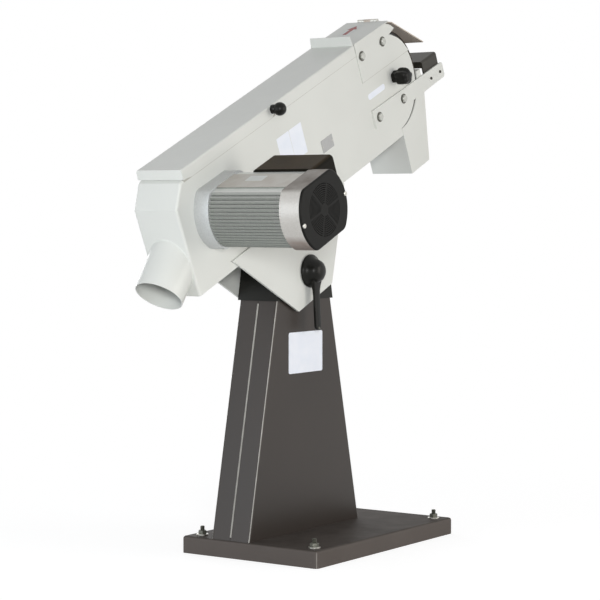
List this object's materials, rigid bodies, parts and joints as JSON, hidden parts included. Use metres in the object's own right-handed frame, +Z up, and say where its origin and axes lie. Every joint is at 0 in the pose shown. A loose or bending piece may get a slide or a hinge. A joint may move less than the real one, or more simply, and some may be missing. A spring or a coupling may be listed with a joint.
{
  "type": "stationary belt sander",
  "caption": "Pedestal belt sander: a tilting guarded arm with flange motor, drive drum, sprung contact wheel, top cover, spark guard, work rest, spark chute and extraction spigot.",
  "frame": {"origin": "on the floor under the centre of the base pan", "axes": "+X towards the contact wheel, +Y away from the motor side, +Z up"},
  "size_m": [1.0751, 0.4475, 1.1856],
  "materials": {
    "body_paint": "satin",
    "stand_paint": "gloss",
    "cap_black": "satin",
    "zinc": "satin",
    "steel": "satin",
    "dark_steel": "satin",
    "motor_grey": "satin",
    "motor_silver": "satin",
    "black_plastic": "satin",
    "core_iron": "matte",
    "wheel_alu": "satin",
    "rubber": "matte",
    "abrasive": "matte",
    "graphite": "matte",
    "label": "satin",
    "green_plastic": "gloss",
    "red_plastic": "gloss"
  },
  "bodies": {
    "stand": {"base_pan": "stand_paint", "anchor_studs": "zinc", "anchor_nuts_and_washers": "zinc", "column_near_shell": "stand_paint", "column_far_shell": "stand_paint", "blank_label_plate": "label", "column_cap": "cap_black", "pivot_bolt": "steel", "pivot_nut_and_washers": "zinc"},
    "clamp": {"clamp_hub": "black_plastic", "clamp_lever": "dark_steel"},
    "rotor": {"motor_shaft": "steel", "rotor_core": "core_iron", "cooling_fan": "black_plastic", "drive_drum": "wheel_alu", "drum_end_screw": "zinc"},
    "tension_carriage": {"axle_block_far": "steel"},
    "wheel_axle": {"axle_block_near": "steel", "wheel_axle": "steel", "axle_spacers": "steel"},
    "contact_wheel": {"contact_wheel_hub": "wheel_alu", "contact_wheel_tyre": "rubber", "wheel_bearings": "steel"},
    "tracking_knob": {"tracking_knob": "black_plastic", "tracking_cam_shaft": "steel"},
    "top_cover": {"top_cover": "body_paint", "cover_hinge_moving_leaves": "zinc"},
    "cover_knob": {"cover_knob": "black_plastic"},
    "spark_guard": {"spark_guard": "dark_steel"},
    "work_rest": {"work_rest": "dark_steel"},
    "start_button": {"start_button": "green_plastic"},
    "stop_button": {"stop_button": "red_plastic"},
    "arm": {"arm_side_near": "body_paint", "arm_side_far": "body_paint", "tail_and_floor_panel": "body_paint", "extraction_spigot": "body_paint", "yoke_cheeks": "body_paint", "sanding_belt": "abrasive", "platen": "steel", "platen_pad": "graphite", "axle_guides": "steel", "tension_springs": "steel", "cover_hinge_fixed_leaves": "zinc", "upper_guard": "body_paint", "spark_hinge_leaf_and_pin": "zinc", "guard_brackets": "body_paint", "spark_chute": "body_paint", "guard_bolts_and_washers": "zinc", "rest_screws_and_nuts": "dark_steel", "motor_front_shield": "motor_silver", "motor_finned_body": "motor_grey", "motor_rear_shield": "motor_silver", "stator_core": "core_iron", "motor_bearings": "steel", "fan_cover": "black_plastic", "motor_bolts": "zinc", "switch_box": "black_plastic", "switch_box_lid": "black_plastic", "cable_gland": "black_plastic"}
  },
  "joints": [
    {"name": "arm_tilt", "type": "hinge", "parent": "stand", "child": "arm", "pos_m": [-0.06, 0.05, 0.609], "axis": [0, -1, 0], "range_deg": [-24, 40]},
    {"name": "clamp_swing", "type": "hinge", "parent": "stand", "child": "clamp", "pos_m": [-0.06, 0.05, 0.609], "axis": [0, -1, 0], "range_deg": [0, 75]},
    {"name": "drive_spin", "type": "hinge", "parent": "arm", "child": "rotor", "pos_m": [-0.38459, 0.05, 0.74423], "axis": [0, 1, 0], "continuous": true},
    {"name": "belt_tension", "type": "slide", "parent": "arm", "child": "tension_carriage", "axis": [0.9135, 0, 0.4067], "range_m": [-0.015, 0], "stiffness_N_per_m": 4000, "springref_m": 0.045, "deforming": ["sanding_belt", "tension_springs"]},
    {"name": "tracking_yaw", "type": "hinge", "parent": "tension_carriage", "child": "wheel_axle", "pos_m": [0.27703, 0.0915, 1.03333], "axis": [-0.4067, 0, 0.9135], "range_deg": [-0.4142, 0.4142]},
    {"name": "wheel_spin", "type": "hinge", "parent": "wheel_axle", "child": "contact_wheel", "pos_m": [0.27703, 0.05, 1.03333], "axis": [0, 1, 0], "continuous": true},
    {"name": "tracking_turn", "type": "hinge", "parent": "arm", "child": "tracking_knob", "pos_m": [0.29557, -0.01, 1.05143], "axis": [0, 1, 0], "range_deg": [-90, 90]},
    {"name": "cover_open", "type": "hinge", "parent": "arm", "child": "top_cover", "pos_m": [-0.37185, 0.1137, 0.86313], "axis": [-0.9094, 0, -0.416], "range_deg": [0, 105]},
    {"name": "cover_knob_turn", "type": "hinge", "parent": "arm", "child": "cover_knob", "pos_m": [-0.1981, -0.02, 0.95723], "axis": [0, -1, 0], "range_deg": [-360, 0]},
    {"name": "spark_guard_swing", "type": "hinge", "parent": "arm", "child": "spark_guard", "pos_m": [0.26847, 0.05, 1.18112], "axis": [0, -1, 0], "range_deg": [0, 60]},
    {"name": "rest_slide", "type": "slide", "parent": "arm", "child": "work_rest", "axis": [0.9135, 0, 0.4067], "range_m": [-0.012, 0.008]},
    {"name": "start_press", "type": "slide", "parent": "arm", "child": "start_button", "axis": [-0.9135, 0, -0.4067], "range_m": [0, 0.003], "stiffness_N_per_m": 600, "springref_m": -0.003},
    {"name": "stop_press", "type": "slide", "parent": "arm", "child": "stop_button", "axis": [-0.9135, 0, -0.4067], "range_m": [0, 0.003], "stiffness_N_per_m": 600, "springref_m": -0.003}
  ],
  "couplings": [
    {"joint": "wheel_spin", "follows": "drive_spin", "ratio": 0.81328},
    {"joint": "tracking_turn", "follows": "tracking_yaw", "ratio": 217.08}
  ]
}
